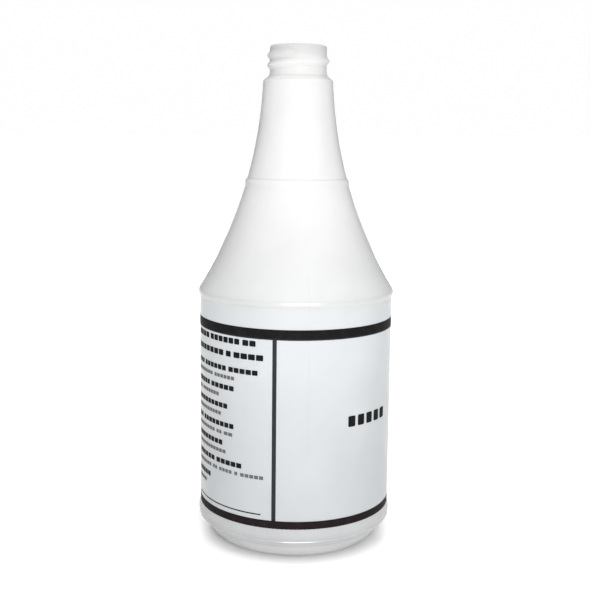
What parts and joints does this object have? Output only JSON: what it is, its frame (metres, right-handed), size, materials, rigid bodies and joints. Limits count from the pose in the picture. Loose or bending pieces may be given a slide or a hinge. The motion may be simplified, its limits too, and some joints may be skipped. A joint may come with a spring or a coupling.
{
  "type": "spray bottle without its cap",
  "caption": "Round bell-shouldered plastic bottle with a threaded neck, bumper rings, a recessed base and a printed panel.",
  "frame": {"origin": "centre of the base, on the plane of the resting ring", "axes": "+Z along the bottle's axis towards the mouth; -Y is the front, with the print's divider a little to the left of it and +X to the right"},
  "size_m": [0.0884, 0.0884, 0.2217],
  "materials": {
    "bottle": "milky natural polyethylene, satin and slightly see-through",
    "ink_black": "black screen print",
    "ink_grey": "thin black screen print that reads as grey"
  },
  "bodies": {
    "root": {"bottle": "bottle", "print_frame": "ink_black", "print_heading": "ink_black", "print_list_bold": "ink_black", "print_list_light": "ink_grey", "print_write_in_line": "ink_black", "print_code_blocks": "ink_black"}
  },
  "joints": []
}
